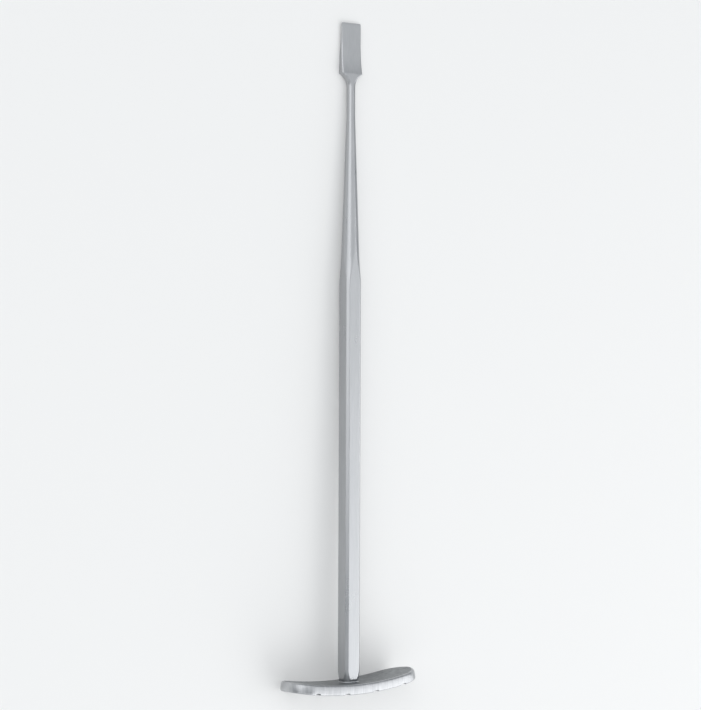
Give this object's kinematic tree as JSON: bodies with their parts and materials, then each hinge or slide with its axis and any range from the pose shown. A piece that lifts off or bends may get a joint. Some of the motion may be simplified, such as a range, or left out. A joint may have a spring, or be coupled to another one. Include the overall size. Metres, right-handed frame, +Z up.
{
  "type": "osteotome",
  "caption": "Palm-held bone chisel: short double-bevelled blade on a slim round neck, square chamfered handle bar and a bent plate across its foot for the palm.",
  "frame": {"origin": "bottom centre of the overall box, on the surface that the instrument lies on", "axes": "+Y from the palm plate to the cutting edge, +X along the palm plate and the blade's width, +Z up"},
  "size_m": [0.0552, 0.2412, 0.0179],
  "materials": {
    "ground_steel": "stainless steel, ground along its length to a satin sheen",
    "plate_steel": "stainless steel, satin, ground across its length"
  },
  "bodies": {
    "root": {"osteotome_bar": "ground_steel", "palm_plate": "plate_steel"}
  },
  "joints": []
}
